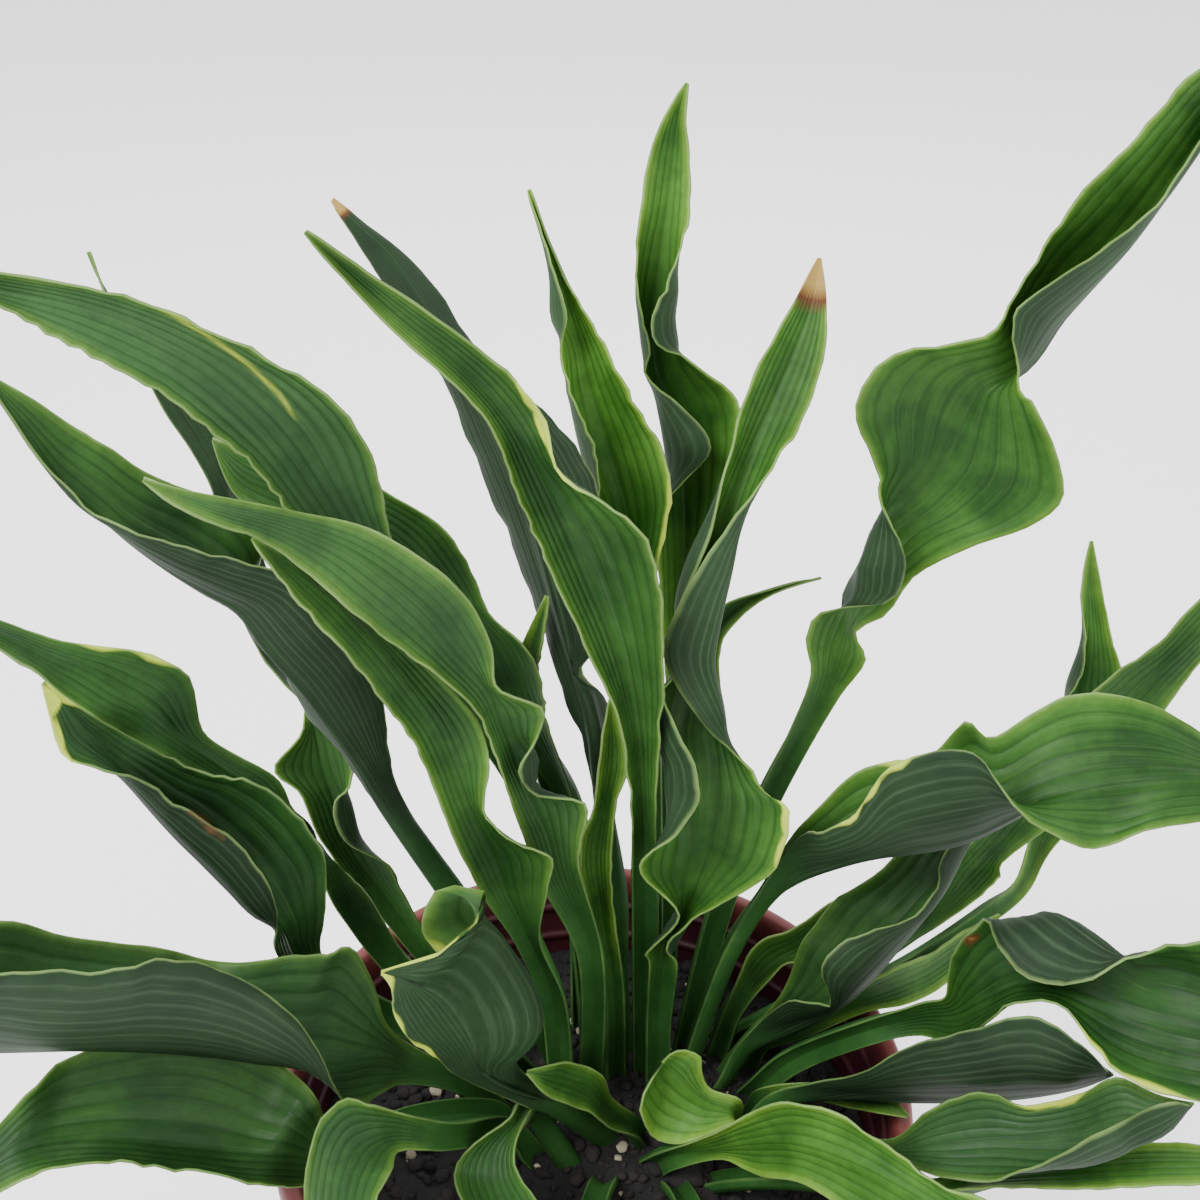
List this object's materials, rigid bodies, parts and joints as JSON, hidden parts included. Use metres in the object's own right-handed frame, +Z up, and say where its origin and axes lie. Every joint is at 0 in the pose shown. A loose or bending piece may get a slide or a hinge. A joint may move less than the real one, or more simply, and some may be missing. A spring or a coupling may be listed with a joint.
{
  "type": "potted hosta plant",
  "caption": "Leafy hosta with long twisted and waved strap leaves on channelled stalks, standing in a soil-filled round nursery pot with a rolled rim and a flat base.",
  "frame": {"origin": "centre of the pot's flat base, on the surface that it stands on", "axes": "+Z up out of the pot, -Z into the surface; +Y away from the side that the picture shows, +X to its right"},
  "size_m": [0.44, 0.3145, 0.5373],
  "materials": {
    "pot": "satin moulded plastic",
    "soil": "moist crumbly potting mix",
    "crown": "rough rhizome and leaf bases",
    "leaf": "satin leaf, grey-green underneath"
  },
  "bodies": {
    "root": {"pot": "pot", "soil": "soil", "crown": "crown", "leaf_M": "leaf", "leaf_N": "leaf", "leaf_O": "leaf", "leaf_P": "leaf", "leaf_Q": "leaf", "leaf_S": "leaf", "leaf_T": "leaf", "leaf_AK": "leaf", "leaf_AM": "leaf", "leaf_A": "leaf", "leaf_B": "leaf", "leaf_C": "leaf", "leaf_D": "leaf", "leaf_E": "leaf", "leaf_F": "leaf", "leaf_G1": "leaf", "leaf_G2": "leaf", "leaf_I": "leaf", "leaf_J": "leaf", "leaf_K": "leaf", "leaf_Lc": "leaf", "leaf_AE": "leaf", "leaf_AF": "leaf", "leaf_AG": "leaf", "leaf_AH": "leaf", "leaf_AD1": "leaf", "leaf_AD2": "leaf", "leaf_V": "leaf", "leaf_W": "leaf", "leaf_U": "leaf", "leaf_Z": "leaf", "leaf_Z2": "leaf", "leaf_AL": "leaf", "leaf_AA": "leaf", "leaf_AB": "leaf", "leaf_AC": "leaf", "leaf_AI": "leaf", "leaf_AJ": "leaf"}
  },
  "joints": []
}
